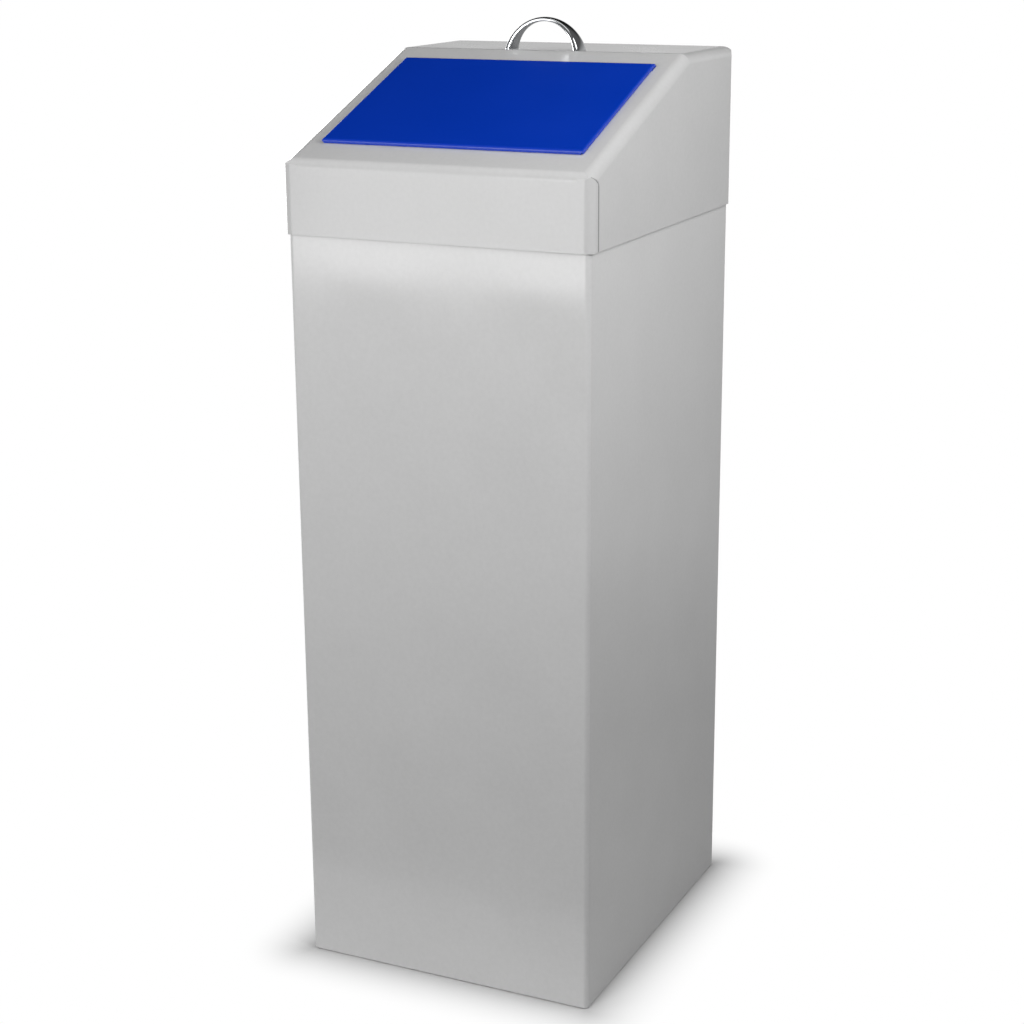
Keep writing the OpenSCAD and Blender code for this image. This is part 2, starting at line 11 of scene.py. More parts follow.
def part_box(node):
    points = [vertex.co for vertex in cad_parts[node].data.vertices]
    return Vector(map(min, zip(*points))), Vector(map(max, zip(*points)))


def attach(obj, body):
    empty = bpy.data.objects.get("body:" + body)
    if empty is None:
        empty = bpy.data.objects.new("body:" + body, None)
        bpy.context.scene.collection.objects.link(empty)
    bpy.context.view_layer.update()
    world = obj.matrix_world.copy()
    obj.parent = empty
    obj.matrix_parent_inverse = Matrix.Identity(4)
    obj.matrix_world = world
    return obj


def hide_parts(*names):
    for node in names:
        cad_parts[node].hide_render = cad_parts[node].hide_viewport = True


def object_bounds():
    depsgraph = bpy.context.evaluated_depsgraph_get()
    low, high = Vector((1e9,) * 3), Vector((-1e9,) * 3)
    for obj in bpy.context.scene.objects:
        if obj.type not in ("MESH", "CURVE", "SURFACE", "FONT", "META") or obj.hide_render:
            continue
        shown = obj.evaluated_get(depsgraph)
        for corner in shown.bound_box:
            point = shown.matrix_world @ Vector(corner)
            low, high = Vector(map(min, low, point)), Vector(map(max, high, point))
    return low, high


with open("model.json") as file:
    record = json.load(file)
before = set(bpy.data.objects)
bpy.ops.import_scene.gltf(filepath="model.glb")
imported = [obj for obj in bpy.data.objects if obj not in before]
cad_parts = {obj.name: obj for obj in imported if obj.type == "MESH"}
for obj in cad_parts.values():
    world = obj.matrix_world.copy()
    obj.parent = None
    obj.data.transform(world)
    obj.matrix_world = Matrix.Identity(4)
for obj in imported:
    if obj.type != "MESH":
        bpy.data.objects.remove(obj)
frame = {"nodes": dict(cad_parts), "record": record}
cad_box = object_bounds()

MM = 0.001
# Points nearer than this are made one.
SAME_POINT = 0.002 * MM
# Faces that meet at more than this angle keep a crisp edge.
CRISP_EDGE = math.radians(38)
# Corners round a turned rivet or weld mark, and round a screw
RIVET_STEPS = 24
SCREW_STEPS = 28


def linear(hex_colour):
    """Turns an sRGB hex colour into the linear RGBA that shaders take."""
    channels = [int(hex_colour[i : i + 2], 16) / 255 for i in (1, 3, 5)]
    curve = [c / 12.92 if c <= 0.04045 else ((c + 0.055) / 1.055) ** 2.4 for c in channels]
    return (*curve, 1.0)


def add_node(tree, kind, inputs=None, out=0, **settings):
    """Adds a node with its settings, sets or links its inputs, and returns one of its outputs."""
    node = tree.nodes.new(kind)
    for name, value in settings.items():
        setattr(node, name, value)
    for name, value in (inputs or {}).items():
        if isinstance(value, bpy.types.NodeSocket):
            tree.links.new(value, node.inputs[name])
        else:
            node.inputs[name].default_value = value
    return node.outputs[out] if node.outputs else None


def ramp(value, ends, results):
    """Inputs of a node that maps a value from the given ends to the given results."""
    return {"Value": value, "From Min": ends[0], "From Max": ends[1], "To Min": results[0],
        "To Max": results[1]}


def material_of(name, shader_of):
    """Makes a material of the shader that shader_of adds to its node tree."""
    material = bpy.data.materials.new(name)
    material.use_nodes = True
    material.node_tree.nodes.clear()
    add_node(material.node_tree, "ShaderNodeOutputMaterial", {"Surface": shader_of(material.node_tree)})
    return material


# Noise texture hardly leaves this stretch.
NOISE_SPREAD = (0.3, 0.7)


def blotches(tree, size, low, high, detail=2.0):
    """A value that wanders from low to high over the surface, in blotches of about the given size."""
    space = add_node(tree, "ShaderNodeTexCoord", out="Object")
    field = add_node(tree, "ShaderNodeTexNoise", {"Vector": space, "Scale": 1 / size, "Detail": detail})
    return add_node(tree, "ShaderNodeMapRange", ramp(field, NOISE_SPREAD, (low, high)), clamp=False)


# Over this distance the thickness of a powder coat drifts, and its tone and satin with it.
COAT_DRIFT = 70 * MM
SATIN_DRIFT = 0.03
POWDER_IOR = 1.5
# The hood is coated apart from the body, and the photo shows it a shade darker.
BODY_GREY, BODY_SATIN = "#CFCFCF", 0.1
HOOD_GREY, HOOD_SATIN = "#C5C5C5", 0.15
FLAP_BLUE, FLAP_SATIN = "#0034AE", 0.2


def satin(tree, roughness):
    """Roughness of a powder coat, which drifts a little either side of the one given."""
    return blotches(tree, COAT_DRIFT, roughness - SATIN_DRIFT, roughness + SATIN_DRIFT, 3)


def powder_coat(colour, roughness):
    """Polyester powder sprayed dry and baked: an even colour under a satin skin of fine orange peel."""
    def skin(tree):
        # The tone is also faintly mottled over a few millimetres.
        tone = add_node(tree, "ShaderNodeMath", {0: blotches(tree, COAT_DRIFT, 0.985, 1.015, 3),
            1: blotches(tree, 4 * MM, 0.984, 1.016, 4)}, operation="MULTIPLY")
        # Thin sheet is never quite flat: it swells by a fraction of a millimetre over a hand's width.
        swell = add_node(tree, "ShaderNodeBump", {"Height": blotches(tree, 160 * MM, 0, 1, 0),
            "Distance": 0.2 * MM})
        # The real peel is about 1.5 mm across, and is drawn at 2.4 mm so that it shows.
        peel = add_node(tree, "ShaderNodeBump", {"Height": blotches(tree, 2.4 * MM, 0, 1),
            "Distance": 0.008 * MM, "Normal": swell})
        return add_node(tree, "ShaderNodeBsdfPrincipled", {
            "Base Color": add_node(tree, "ShaderNodeVectorMath", {0: linear(colour)[:3], "Scale": tone},
                operation="SCALE"),
            "Roughness": satin(tree, roughness),
            "Normal": peel,
            "IOR": POWDER_IOR,
        })
    return skin


def chrome_plate(tree):
    """Polished zinc casting with bright chrome: a mirror over the faint waves that polishing leaves."""
    return add_node(tree, "ShaderNodeBsdfPrincipled", {
        "Base Color": linear("#C4C6C8"),
        "Metallic": 1.0,
        "Roughness": blotches(tree, 2 * MM, 0.05, 0.1, 4),
        "Normal": add_node(tree, "ShaderNodeBump", {"Height": blotches(tree, 9 * MM, 0, 1, 1),
            "Distance": 0.004 * MM}),
    })


def galvanised_sheet(tree):
    """Hot-dip galvanised steel: zinc crystals 9 mm across, each with its own tone, gloss and height."""
    space = add_node(tree, "ShaderNodeTexCoord", out="Object")
    crystals = add_node(tree, "ShaderNodeTexVoronoi", {"Vector": space, "Scale": 1 / (9 * MM),
        "Randomness": 1.0}, out="Color")
    shade = add_node(tree, "ShaderNodeSeparateColor", {"Color": crystals}).node.outputs
    crystal_tone = add_node(tree, "ShaderNodeMapRange", ramp(shade[0], (0, 1), (0.82, 1.06)))
    # Feathered growth inside each crystal
    tone = add_node(tree, "ShaderNodeMath", {0: crystal_tone, 1: blotches(tree, 1.5 * MM, 0.96, 1.04, 3)},
        operation="MULTIPLY")
    return add_node(tree, "ShaderNodeBsdfPrincipled", {
        "Base Color": add_node(tree, "ShaderNodeVectorMath", {0: linear("#A9ADB0")[:3], "Scale": tone},
            operation="SCALE"),
        "Metallic": 1.0,
        "Roughness": add_node(tree, "ShaderNodeMapRange", ramp(shade[2], (0, 1), (0.4, 0.56))),
        "Normal": add_node(tree, "ShaderNodeBump", {"Height": shade[1], "Distance": 0.02 * MM}),
    })


def zinc_plate(tree):
    """Bright zinc plate on small steel parts: a bluish metal with a cloudy, faintly yellow passivation."""
    return add_node(tree, "ShaderNodeBsdfPrincipled", {
        "Base Color": add_node(tree, "ShaderNodeMix", {"Factor": blotches(tree, 6 * MM, 0, 1, 3),
            6: linear("#BFC4C9"), 7: linear("#C6C3B4")}, out=2, data_type="RGBA"),
        "Metallic": 1.0,
        "Roughness": blotches(tree, 6 * MM, 0.24, 0.38, 3),
        # The steel under the plate is faintly rough from the press.
        "Normal": add_node(tree, "ShaderNodeBump", {"Height": blotches(tree, 0.8 * MM, 0, 1, 4),
            "Distance": 0.0016 * MM}),
    })


def moulded_rubber(tree):
    """Black moulded rubber: dead matt, with a fine spark-eroded grain and a grey bloom."""
    return add_node(tree, "ShaderNodeBsdfPrincipled", {
        "Base Color": add_node(tree, "ShaderNodeVectorMath", {0: linear("#262626")[:3],
            "Scale": blotches(tree, 5 * MM, 0.8, 1.3, 3)}, operation="SCALE"),
        "Roughness": blotches(tree, 5 * MM, 0.65, 0.85, 3),
        # The real grain is about 0.1 mm across, and is drawn at 0.5 mm so that it shows.
        "Normal": add_node(tree, "ShaderNodeBump", {"Height": blotches(tree, 0.5 * MM, 0, 1, 3),
            "Distance": 0.012 * MM}),
        "IOR": 1.52,
    })


def natural_nylon(tree):
    """Natural nylon, moulded: a waxy off-white with a faint mottle."""
    return add_node(tree, "ShaderNodeBsdfPrincipled", {
        "Base Color": add_node(tree, "ShaderNodeVectorMath", {0: linear("#E3DCC8")[:3],
            "Scale": blotches(tree, 0.6 * MM, 0.95, 1.03)}, operation="SCALE"),
        "Roughness": 0.42,
        "Normal": add_node(tree, "ShaderNodeBump", {"Height": blotches(tree, 0.6 * MM, 0, 1),
            "Distance": 0.004 * MM}),
        "IOR": 1.53,
    })


FINISHES = {
    "grey_powder_coat": material_of("light_grey_powder_coat", powder_coat(BODY_GREY, BODY_SATIN)),
    "blue_powder_coat": material_of("blue_powder_coat", powder_coat(FLAP_BLUE, FLAP_SATIN)),
    "chrome_plate": material_of("bright_chrome_plate", chrome_plate),
    "galvanised_sheet": material_of("hot_dip_galvanised_steel", galvanised_sheet),
    "zinc_plated_steel": material_of("bright_zinc_plate", zinc_plate),
    "black_rubber": material_of("black_moulded_rubber", moulded_rubber),
    "natural_nylon": material_of("natural_nylon", natural_nylon),
}

for part in frame["record"]["subparts"]:
    for holder in frame["nodes"][part["node"]].material_slots:
        holder.material = FINISHES[part["material_slot"]]

HOOD_COAT = material_of("light_grey_hood_coat", powder_coat(HOOD_GREY, HOOD_SATIN))
frame["nodes"]["hood_shell"].material_slots[0].material = HOOD_COAT


def finished(name, form, slot, body, *stands_for, finish=None):
    """Makes a piece with its slot's finish that rides on a body, in place of the CAD nodes named."""
    bmesh.ops.remove_doubles(form, verts=form.verts, dist=SAME_POINT)
    bmesh.ops.recalc_face_normals(form, faces=form.faces)
    for face in form.faces:
        face.smooth = True
    mesh = bpy.data.meshes.new(name)
    form.to_mesh(mesh)
    form.free()
    mesh.set_sharp_from_angle(angle=CRISP_EDGE)
    mesh.materials.append(finish or FINISHES[slot])
    piece = bpy.data.objects.new(name, mesh)
    bpy.context.scene.collection.objects.link(piece)
    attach(piece, body)
    if stands_for:
        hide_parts(*stands_for)


def turned(form, profile, steps):
    """Turns a half section of (radius, height) points in millimetres about the upright axis."""
    corners = [form.verts.new((radius * MM, 0, height * MM)) for radius, height in profile]
    edges = [form.edges.new(pair) for pair in zip(corners, corners[1:])]
    bmesh.ops.spin(form, geom=corners + edges, cent=(0, 0, 0), axis=(0, 0, 1), dvec=(0, 0, 0),
        angle=2 * math.pi, steps=steps, use_merge=True)


def put(form, place, before=()):
    """Moves what is new in a form to its place."""
    bmesh.ops.transform(form, matrix=place, verts=[v for v in form.verts if v not in before])


# The bow of the handle is cast with a crowned back and underside, and widens to its feet. Its back is an
# arc whose centre lies below the feet, in millimetres.
BOW_OUTER_R, BOW_OUTER_DROP = 41.85, 10.55
BOW_HEIGHT = BOW_OUTER_R - BOW_OUTER_DROP
BOW_SWEEP = math.radians(160)
# Thickness and width of the bow at its top and at its feet
BOW_TOP_T, BOW_FOOT_T = 4.2, 7.6
BOW_TOP_W, BOW_FOOT_W = 10.0, 24.0
# Above 1, the legs get broad well above their feet.
BOW_FLARE = 1.2
# Powers that draw a round section out towards a rectangle, across the bow and away from its centre
BOW_SQUARE_ACROSS, BOW_SQUARE_OUT = 0.35, 0.4
# How far the edges of the back and of the underside fall away, as shares of the thickness
BACK_CROWN, UNDERSIDE_CROWN = 0.2, 0.1
# The section, drawn one unit in radius, is first spun at this one. Each point then gets its place from its
# angle, its side, and how far it is from this radius.
SPIN_R = 1000


def bow_handle():
    """Chrome bow on the hood: a squarish section swept along an arc, cut off level at its feet."""
    low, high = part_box("lift_handle")
    middle = (low + high) / 2
    form = bmesh.new()
    ring = bmesh.ops.create_circle(form, cap_ends=False, segments=64, radius=1)["verts"]
    for vert in ring:
        across, out = vert.co.x, vert.co.y
        vert.co = (0, math.copysign(abs(across) ** BOW_SQUARE_ACROSS, across),
            math.copysign(abs(out) ** BOW_SQUARE_OUT, out))
    bmesh.ops.transform(form, matrix=Matrix.Translation((0, 0, SPIN_R)), verts=ring)
    bmesh.ops.rotate(form, verts=ring, cent=(0, 0, 0), matrix=Matrix.Rotation(-BOW_SWEEP / 2, 3, "Y"))
    bmesh.ops.spin(form, geom=form.verts[:] + form.edges[:], cent=(0, 0, 0), axis=(0, 1, 0),
        dvec=(0, 0, 0), angle=BOW_SWEEP, steps=96, use_merge=False)
    for vert in form.verts:
        turn = math.atan2(vert.co.x, vert.co.z)
        side = vert.co.y
        out = math.hypot(vert.co.x, vert.co.z) - SPIN_R
        rise = (math.cos(turn) * BOW_OUTER_R - BOW_OUTER_DROP) / BOW_HEIGHT
        thick = BOW_FOOT_T + (BOW_TOP_T - BOW_FOOT_T) * rise
        half = (BOW_FOOT_W + (BOW_TOP_W - BOW_FOOT_W) * max(rise, 0) ** BOW_FLARE) / 2
        crown = ((1 + out) / 2 * BACK_CROWN - (1 - out) / 2 * UNDERSIDE_CROWN) * side * side * thick
        away = BOW_OUTER_R + (out - 1) * thick / 2 - crown
        vert.co = (math.sin(turn) * away * MM, side * half * MM,
            (math.cos(turn) * away - BOW_OUTER_DROP) * MM)
    seat = bmesh.ops.bisect_plane(form, geom=form.verts[:] + form.edges[:] + form.faces[:],
        plane_co=(0, 0, 0), plane_no=(0, 0, 1), clear_inner=True)
    cut = [part for part in seat["geom_cut"] if isinstance(part, bmesh.types.BMEdge)]
    bmesh.ops.holes_fill(form, edges=cut, sides=0)
    put(form, Matrix.Translation((middle.x, middle.y, low.z)))
    finished("bow_handle", form, "chrome_plate", "hood", "lift_handle")


# Screws of the handle, in millimetres: the head's height and its radii at the seat and at the rim of its
# flat top, and the shank's radius and length
HEAD_H, HEAD_R, HEAD_RIM_R = 2.4, 4.0, 3.05
SHANK_R, SHANK_L = 2.0, 6.0
# The cross in the head is drawn on a plate of this half width, in a grid of seven by seven fields. The
# cross is one field wide and five long, and narrows by the inset on the way down.
RECESS_PLATE, RECESS_FIELDS = 2.1, 7
ARM_HALF_W, ARM_REACH = 0.3, 1.5
RECESS_INSET, RECESS_DEPTH = 0.1, 1.3


def cross_recess(form):
    """Top of a screw head: a plate with a tapered cross pressed into it, in a round rim."""
    bmesh.ops.create_grid(form, x_segments=RECESS_FIELDS, y_segments=RECESS_FIELDS, size=RECESS_PLATE * MM)
    cross = []
    for face in form.faces:
        x, y = (abs(c) for c in face.calc_center_median()[:2])
        if min(x, y) < ARM_HALF_W * MM and max(x, y) < ARM_REACH * MM:
            cross.append(face)
    square = [edge for edge in form.edges if edge.is_boundary]
    bmesh.ops.inset_region(form, faces=cross, thickness=RECESS_INSET * MM, depth=-RECESS_DEPTH * MM,
        use_even_offset=True, use_boundary=True)
    ring = bmesh.ops.create_circle(form, cap_ends=False, segments=SCREW_STEPS,
        radius=HEAD_RIM_R * MM)["verts"]
    rim = [edge for edge in form.edges if edge.verts[0] in ring]
    bmesh.ops.bridge_loops(form, edges=square + rim)
    bmesh.ops.translate(form, verts=form.verts, vec=(0, 0, HEAD_H * MM))


def handle_screws():
    """Pan-head screws that hold the handle from inside the hood, with a cross recess."""
    low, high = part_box("handle_screws")
    form = bmesh.new()
    for side in (-1, 1):
        before = set(form.verts)
        head = bmesh.new()
        cross_recess(head)
        turned(head, [(HEAD_RIM_R, HEAD_H), (3.45, 2.2), (3.8, 1.8), (3.98, 1.3), (HEAD_R, 0.8),
            (HEAD_R, 0), (SHANK_R, 0), (SHANK_R, -SHANK_L), (0, -SHANK_L)], SCREW_STEPS)
        bmesh.ops.remove_doubles(head, verts=head.verts, dist=SAME_POINT)
        bmesh.ops.rotate(head, verts=head.verts, cent=(0, 0, 0), matrix=Matrix.Rotation(math.pi, 3, "X"))
        loose = bpy.data.meshes.new("screw")
        head.to_mesh(loose)
        head.free()
        form.from_mesh(loose)
        bpy.data.meshes.remove(loose)
        place = (side * (high.x - HEAD_R * MM), (low.y + high.y) / 2, low.z + HEAD_H * MM)
        put(form, Matrix.Translation(place), before)
    finished("cross_head_screws", form, "zinc_plated_steel", "hood", "handle_screws")


# Pulled rivets, in millimetres: the barrel's radius and the heights of the flange and the tail
BARREL_R, FLANGE_H, TAIL_H = 2.0, 1.2, 1.2


def blind_rivet(form, place, grip, flange_r, tail_r):
    """Pulled rivet: a domed flange with the broken stem in its hole, and the swollen tail."""
    before = set(form.verts)
    tail = FLANGE_H + grip
    turned(form, [(0, 0.55), (0.75, 0.5), (0.85, 0.08), (1.3, 0), (flange_r - 1, 0.3),
        (flange_r - 0.25, 0.75), (flange_r, FLANGE_H), (BARREL_R, FLANGE_H), (BARREL_R, tail),
        (tail_r, tail), (tail_r, tail + 0.4), (tail_r - 0.5, tail + 0.9), (tail_r - 1.4, tail + TAIL_H),
        (0, tail + TAIL_H)], RIVET_STEPS)
    put(form, place, before)


# Rivets of the bails' lugs, in millimetres: what they clamp, their radii, and how far two stand apart
LUG_GRIP, LUG_FLANGE_R, LUG_TAIL_R = 2.3, 3.1, 3.6
LUG_PITCH = 10


def lug_rivets():
    """Rivets of the bails' lugs, with their flanges inside the liner and their tails outside it."""
    low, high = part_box("lug_rivets")
    deep = (FLANGE_H + LUG_GRIP + TAIL_H) * MM
    first = LUG_TAIL_R * MM
    second = first + LUG_PITCH * MM
    form = bmesh.new()
    for side in (-1, 1):
        for y in (low.y + first, low.y + second, high.y - second, high.y - first):
            place = Matrix.Translation((side * (high.x - deep), y, (low.z + high.z) / 2))
            place @= Matrix.Rotation(side * math.pi / 2, 4, "Y")
            blind_rivet(form, place, LUG_GRIP, LUG_FLANGE_R, LUG_TAIL_R)
    finished("bail_lug_rivets", form, "zinc_plated_steel", "liner", "lug_rivets")


# Rivets of the feet, in millimetres
FOOT_GRIP, FOOT_FLANGE_R, FOOT_TAIL_R = 7.5, 4.0, 3.5


def foot_rivets():
    """Rivets up through the rubber feet, with their tails on the base pan."""
    low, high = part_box("foot_rivets")
    form = bmesh.new()
    for x in (low.x + FOOT_FLANGE_R * MM, high.x - FOOT_FLANGE_R * MM):
        for y in (low.y + FOOT_FLANGE_R * MM, high.y - FOOT_FLANGE_R * MM):
            blind_rivet(form, Matrix.Translation((x, y, low.z)), FOOT_GRIP, FOOT_FLANGE_R, FOOT_TAIL_R)
    finished("rubber_foot_rivets", form, "zinc_plated_steel", "bin", "foot_rivets")


# Lock seam, in millimetres: its width and thickness, how far it ends below the wired edge's top, how far
# its middle lies inside that edge, the rounding of its upright edges, and the groove along its back
SEAM_W, SEAM_T = 8, 1.9
SEAM_BELOW_TOP, SEAM_INSIDE_EDGE = 9, 1.64
SEAM_ROUNDING = 0.8
GROOVE_FROM_EDGE, GROOVE_DEPTH = 1.6, 0.3


def lock_seam():
    """Folded seam down the back of the liner, where the ends of its sheet hook into each other."""
    low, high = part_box("liner_shell")
    top = high.z - SEAM_BELOW_TOP * MM
    form = bmesh.new()
    bmesh.ops.create_cube(form, size=1)
    bmesh.ops.scale(form, verts=form.verts, vec=(SEAM_W * MM, SEAM_T * MM, top - low.z))
    upright = [edge for edge in form.edges if abs(edge.verts[0].co.z - edge.verts[1].co.z) > MM]
    bmesh.ops.bevel(form, geom=upright, offset=SEAM_ROUNDING * MM, segments=4, profile=0.5,
        affect="EDGES", material=-1)
    back = max(form.faces, key=lambda face: face.calc_center_median().y)
    bmesh.ops.inset_region(form, faces=[back], thickness=GROOVE_FROM_EDGE * MM, depth=0)
    bmesh.ops.inset_region(form, faces=[back], thickness=GROOVE_DEPTH * MM, depth=-GROOVE_DEPTH * MM)
    put(form, Matrix.Translation((0, high.y - SEAM_INSIDE_EDGE * MM, (low.z + top) / 2)))
    finished("liner_lock_seam", form, "galvanised_sheet", "liner")


# Spot welds, in millimetres: the ledges' faces on either side, the height of the row, and where the
# welds sit, as shares of a ledge's length
LEDGE_FACE_X = 152.75
WELD_Z = 771
WELD_SHARES = (0.08, 0.36, 0.64, 0.92)
# Half section of a crater with its raised lip
CRATER = ((0, 0.03), (1.7, 0.04), (2.2, 0.14), (2.7, 0.1), (3.0, 0), (3.0, -0.1), (0, -0.1))


def spot_welds():
    """Shallow craters that the electrodes left where the ledges are welded inside the hood."""
    form = bmesh.new()
    for node, side in (("hood_rest_left", -1), ("hood_rest_right", 1)):
        low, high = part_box(node)
        for share in WELD_SHARES:
            before = set(form.verts)
            turned(form, CRATER, RIVET_STEPS)
            spot = (side * LEDGE_FACE_X * MM, low.y + (high.y - low.y) * share, WELD_Z * MM)
            place = Matrix.Translation(spot) @ Matrix.Rotation(-side * math.pi / 2, 4, "Y")
            put(form, place, before)
    finished("ledge_spot_welds", form, "grey_powder_coat", "hood")


# Edge of the tab that laps over the hood's side, from its foot to the end of its slanted cut, with the
# width of the painted shade behind it there, as (width, y, z) in millimetres
TAB_EDGE = ((6.0, -167.9, 735.8), (6.0, -167.9, 793.0), (4.6, -168.2, 795.0), (3.3, -169.6, 796.8),
    (1.4, -176.4, 801.5))
# The strip that carries the painted shade starts this share of its width from the tab's edge and floats
# over the hood's side. It keeps clear of the CAD box at its outermost.
CREVICE_START = 0.03
CREVICE_LIFT = 0.03 * MM
BOX_CLEARANCE = 0.1 * MM
# Somewhere outside the hood, to either side, in metres
OUTSIDE_X = 0.2
# The painted shade is as dark as it gets up to the first of these shares of the strip's width, and gone at
# the second.
SHADE_FADE = (0.6, 1.0)
DEEPEST_SHADE = 0.42


def crevice_painted_shade(tree):
    """Painted shade in the corner behind the lapped tab: the hood's coat darkened there, fading over the
    side.
    """
    place = add_node(tree, "ShaderNodeTexCoord", out="UV")
    across = add_node(tree, "ShaderNodeSeparateXYZ", {"Vector": place})
    # Painted shade: the hood's grey is darkest next to the tab's edge and fades to the plain coat over the
    # side.
    tone = add_node(tree, "ShaderNodeMapRange", ramp(across, SHADE_FADE, (DEEPEST_SHADE, 1.0)))
    wander = add_node(tree, "ShaderNodeMath", {0: tone, 1: blotches(tree, 3 * MM, 0.97, 1.03)},
        operation="MULTIPLY")
    return add_node(tree, "ShaderNodeBsdfPrincipled", {
        "Base Color": add_node(tree, "ShaderNodeVectorMath", {0: linear(HOOD_GREY)[:3], "Scale": wander},
            operation="SCALE"),
        "Roughness": satin(tree, HOOD_SATIN),
        "IOR": POWDER_IOR,
    })


def along_edge(share):
    """Point on the tab's edge at a share of its length, and the way across the crevice there."""
    points = [Vector(point) for point in TAB_EDGE]
    runs = [(end - start).yz.length for start, end in zip(points, points[1:])]
    to_go = share * sum(runs)
    for start, end, run in zip(points, points[1:], runs):
        if to_go <= run or end is points[-1]:
            width, y, z = start.lerp(end, to_go / run)
            way = (end - start).yz / run
            return Vector((0, y, z)), Vector((0, way.y, -way.x)) * width
        to_go -= run


def painted_tab_shade_strips():
    """Strips of painted shade on the hood's sides, just behind their lapped tabs."""
    hood = frame["nodes"]["hood_shell"]
    finish = material_of("painted_crevice_shade_coat", crevice_painted_shade)
    widest = cad_box[1][0] - BOX_CLEARANCE
    form = bmesh.new()
    crevice_map = form.loops.layers.uv.new("across_the_crevice")
    for side in (-1, 1):
        before = set(form.verts)
        bmesh.ops.create_grid(form, x_segments=4, y_segments=60, size=1)
        fresh = [vert for vert in form.verts if vert not in before]
        for face in form.faces:
            for loop in face.loops:
                if loop.vert not in before:
                    loop[crevice_map].uv = ((loop.vert.co.x + 1) / 2, (loop.vert.co.y + 1) / 2)
        for vert in fresh:
            across, share = (vert.co.x + 1) / 2, (vert.co.y + 1) / 2
            point, back = along_edge(share)
            spot = (point + back * (CREVICE_START + (1 - CREVICE_START) * across)) * MM
            found, normal = hood.ray_cast((side * OUTSIDE_X, spot.y, spot.z), (-side, 0, 0))[1:3]
            vert.co = found + normal * CREVICE_LIFT
            vert.co.x = side * min(abs(vert.co.x), widest)
    finished("tab_edge_painted_shade", form, "grey_powder_coat", "hood", finish=finish)


painted_tab_shade_strips()
bow_handle()
handle_screws()
lug_rivets()
foot_rivets()
lock_seam()
spot_welds()


# Strengths of the room's parts, where 1 is white
AMBIENT = 0.1
FRONT = 0.2
WALL = 0.56
BAND = 0.62
LEFT_CEILING = 0.01
RIGHT_CEILING = 0.13
# Heights of a ray's direction between which the mirrored wall brightens, and between which it ends
WALL_TO_BAND = (-0.02, 0.02)
BAND_TO_CEILING = (0.12, 0.3)
# Sideways parts of a ray's direction between which the ceiling brightens to the right
LEFT_TO_RIGHT = (0.0, 0.3)
# Depths of a ray's direction between which the dim front turns to the room behind the bin
FRONT_TO_BACK = (-0.1, 0.2)


def studio_world():
    """White to the camera; matt surfaces see an even grey, glossy ones a dim front and, behind the bin, a
    wall with a brighter band above it, below a dark ceiling."""
    world = bpy.data.worlds.new("studio")
    bpy.context.scene.world = world
    world.use_nodes = True
    tree = world.node_tree
    tree.nodes.clear()
    rays = add_node(tree, "ShaderNodeLightPath").node.outputs
    towards = add_node(tree, "ShaderNodeTexCoord", out="Generated")
    axes = add_node(tree, "ShaderNodeSeparateXYZ", {"Vector": towards}).node.outputs
    low = add_node(tree, "ShaderNodeMapRange", ramp(axes["Z"], WALL_TO_BAND, (WALL, BAND)))
    high = add_node(tree, "ShaderNodeMapRange", ramp(axes["X"], LEFT_TO_RIGHT,
        (LEFT_CEILING, RIGHT_CEILING)))
    room = add_node(tree, "ShaderNodeMapRange", ramp(axes["Z"], BAND_TO_CEILING, (low, high)))
    mirrored = add_node(tree, "ShaderNodeMapRange", ramp(axes["Y"], FRONT_TO_BACK, (FRONT, room)))
    unseen = add_node(tree, "ShaderNodeMapRange", ramp(rays["Is Glossy Ray"], (0, 1), (AMBIENT, mirrored)))
    strength = add_node(tree, "ShaderNodeMapRange", ramp(rays["Is Camera Ray"], (0, 1), (unseen, 1)))
    light = add_node(tree, "ShaderNodeBackground", {"Color": linear("#FFFFFF"), "Strength": strength})
    add_node(tree, "ShaderNodeOutputWorld", {"Surface": light})


# The white paper ends between these places in front of the bin, as its reflection in the body shows.
PAPER_EDGE_Y = (-0.37, -0.33)
# The camera sees the floor turn to plain white over this distance from the bin's foot, the faster nearer
# to it the higher the power is.
SHADOW_REACH = 0.075
SHADOW_POWER = 2.0
# Distances from the middle between which the floor gives way to the room in what the bin mirrors
MIRRORED_FLOOR = (0.7, 1.5)


def past_edge(tree, coordinate, half):
    """How far a coordinate lies outside a middle stretch of the given half width."""
    size = add_node(tree, "ShaderNodeMath", {0: coordinate}, operation="ABSOLUTE")
    over = add_node(tree, "ShaderNodeMath", {0: size, 1: half}, operation="SUBTRACT")
    return add_node(tree, "ShaderNodeMath", {0: over, 1: 0.0}, operation="MAXIMUM")


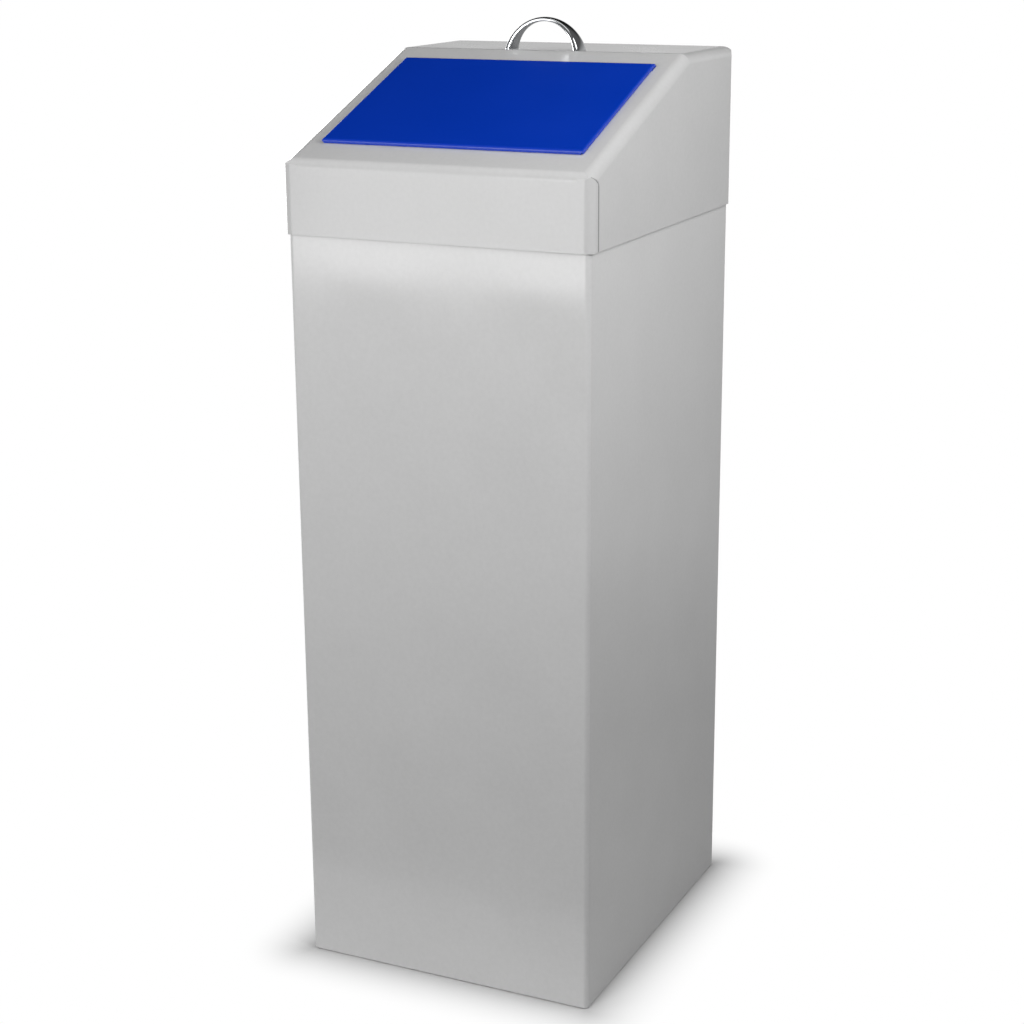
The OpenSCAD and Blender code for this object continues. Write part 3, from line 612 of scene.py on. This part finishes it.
def studio_paper(tree):
    """Matt white paper that keeps the shadow at the bin's foot; seen from below it is clear."""
    rays = add_node(tree, "ShaderNodeLightPath").node.outputs
    space = add_node(tree, "ShaderNodeTexCoord", out="Object")
    axes = add_node(tree, "ShaderNodeSeparateXYZ", {"Vector": space}).node.outputs
    # Dark beyond the paper's edge, for all but the camera
    on_paper = add_node(tree, "ShaderNodeMapRange", ramp(axes["Y"], PAPER_EDGE_Y, (0, 1)))
    lit = add_node(tree, "ShaderNodeMath", {0: on_paper, 1: rays["Is Camera Ray"]}, operation="MAXIMUM")
    colour = add_node(tree, "ShaderNodeVectorMath", {0: linear("#CCCCCC")[:3], "Scale": lit},
        operation="SCALE")
    paper = add_node(tree, "ShaderNodeBsdfDiffuse", {"Color": colour})
    # Plain white to the camera, away from the bin's foot
    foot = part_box("body_shell")[1]
    apart = add_node(tree, "ShaderNodeCombineXYZ", {"X": past_edge(tree, axes["X"], foot[0]),
        "Y": past_edge(tree, axes["Y"], foot[1])})
    distance = add_node(tree, "ShaderNodeVectorMath", {0: apart}, out="Value", operation="LENGTH")
    nearness = add_node(tree, "ShaderNodeMapRange", ramp(distance, (0, SHADOW_REACH), (1, 0)))
    shade = add_node(tree, "ShaderNodeMath", {0: nearness, 1: SHADOW_POWER}, operation="POWER")
    plain = add_node(tree, "ShaderNodeMath", {0: 1.0, 1: shade}, operation="SUBTRACT")
    seen_plain = add_node(tree, "ShaderNodeMath", {0: plain, 1: rays["Is Camera Ray"]},
        operation="MULTIPLY")
    glow = add_node(tree, "ShaderNodeEmission", {"Color": linear("#FFFFFF"), "Strength": 1.0})
    seen = add_node(tree, "ShaderNodeMixShader", {0: seen_plain, 1: paper, 2: glow})
    # Clear from below, and far away for what the bin mirrors
    away = add_node(tree, "ShaderNodeVectorMath", {0: space}, out="Value", operation="LENGTH")
    beyond = add_node(tree, "ShaderNodeMapRange", ramp(away, MIRRORED_FLOOR, (0, 1)))
    far = add_node(tree, "ShaderNodeMath", {0: rays["Is Glossy Ray"], 1: beyond}, operation="MULTIPLY")
    below = add_node(tree, "ShaderNodeNewGeometry", out="Backfacing")
    gone = add_node(tree, "ShaderNodeMath", {0: far, 1: below}, operation="MAXIMUM")
    clear = add_node(tree, "ShaderNodeBsdfTransparent")
    return add_node(tree, "ShaderNodeMixShader", {0: gone, 1: seen, 2: clear})


# Half the width of the paper, far past the picture's edges, in metres
PAPER_HALF_W = 12


def studio_floor():
    """Paper that the bin stands on."""
    form = bmesh.new()
    bmesh.ops.create_grid(form, x_segments=1, y_segments=1, size=PAPER_HALF_W)
    mesh = bpy.data.meshes.new("studio_floor")
    form.to_mesh(mesh)
    form.free()
    mesh.materials.append(material_of("white_studio_paper", studio_paper))
    floor = bpy.data.objects.new("studio_floor", mesh)
    bpy.context.scene.collection.objects.link(floor)


# Softboxes: where each one hangs and what it points at, its width and height in metres, and its watts
SOFTBOXES = {
    "key_panel": ((-0.65, -1.7, 0.8), (-0.65, 0.0, 0.8), (0.9, 0.8), 6.9),
    "key_strip": ((-0.65, -1.69, 0.44), (-0.65, 0.0, 0.44), (0.9, 0.08), 0.332),
    "left_far": ((-2.6, -2.0, 1.4), (0.0, -0.15, 0.6), (0.8, 0.8), 25.4),
    "front_near": ((-0.05, -1.15, 1.0), (0.0, -0.15, 0.6), (0.4, 0.4), 4.59),
    "side_high": ((0.8, 0.1, 1.5), (0.15, 0.0, 0.75), (0.4, 0.4), 3.6),
    "side_front": ((0.9, -0.4, 1.1), (0.15, -0.1, 0.7), (0.3, 0.3), 5.13),
    "top": ((0.1, 0.0, 2.0), (0.05, 0.0, 0.85), (0.8, 0.8), 2.74),
    "back_left": ((-1.6, 1.4, 0.9), (0.0, 0.1, 0.6), (1.0, 1.0), 10.0),
}


def softbox(name, place, target, size, watts):
    """Hangs a lit panel in its place, turned to its target."""
    lamp = bpy.data.lights.new(name, "AREA")
    lamp.shape = "RECTANGLE"
    lamp.size, lamp.size_y = size
    lamp.energy = watts
    holder = bpy.data.objects.new(name, lamp)
    holder.location = place
    holder.rotation_euler = (Vector(target) - Vector(place)).to_track_quat("-Z", "Y").to_euler()
    bpy.context.scene.collection.objects.link(holder)


# Camera solved from the straight edges of the photo, in metres, degrees and pixels
CAMERA_PLACE = (0.86529, -1.84467, 1.02726)
CAMERA_YAW = 25.446
CAMERA_PITCH = -16.14
CAMERA_ROLL = -0.416
FOCAL_PX = 2091.7
CENTRE_PX = (508.35, 511.75)
IMAGE_PX = 1024
SENSOR_MM = 36.0


def photo_camera():
    """Camera where the photo was taken from, with its lens and its slightly shifted centre."""
    yaw, pitch, roll = (math.radians(a) for a in (CAMERA_YAW, CAMERA_PITCH, CAMERA_ROLL))
    lens = bpy.data.cameras.new("photo_camera")
    lens.sensor_width = SENSOR_MM
    lens.lens = SENSOR_MM * FOCAL_PX / IMAGE_PX
    lens.shift_x = 0.5 - CENTRE_PX[0] / IMAGE_PX
    lens.shift_y = CENTRE_PX[1] / IMAGE_PX - 0.5
    camera = bpy.data.objects.new("photo_camera", lens)
    level = Matrix.Rotation(yaw, 3, "Z") @ Matrix.Rotation(math.pi / 2 + pitch, 3, "X")
    camera.matrix_world = (level @ Matrix.Rotation(roll, 3, "Z")).to_4x4()
    camera.location = CAMERA_PLACE
    bpy.context.scene.collection.objects.link(camera)
    bpy.context.scene.camera = camera


for name, setting in SOFTBOXES.items():
    softbox(name, *setting)
studio_world()
studio_floor()
photo_camera()
bpy.context.scene.view_settings.view_transform = "Standard"
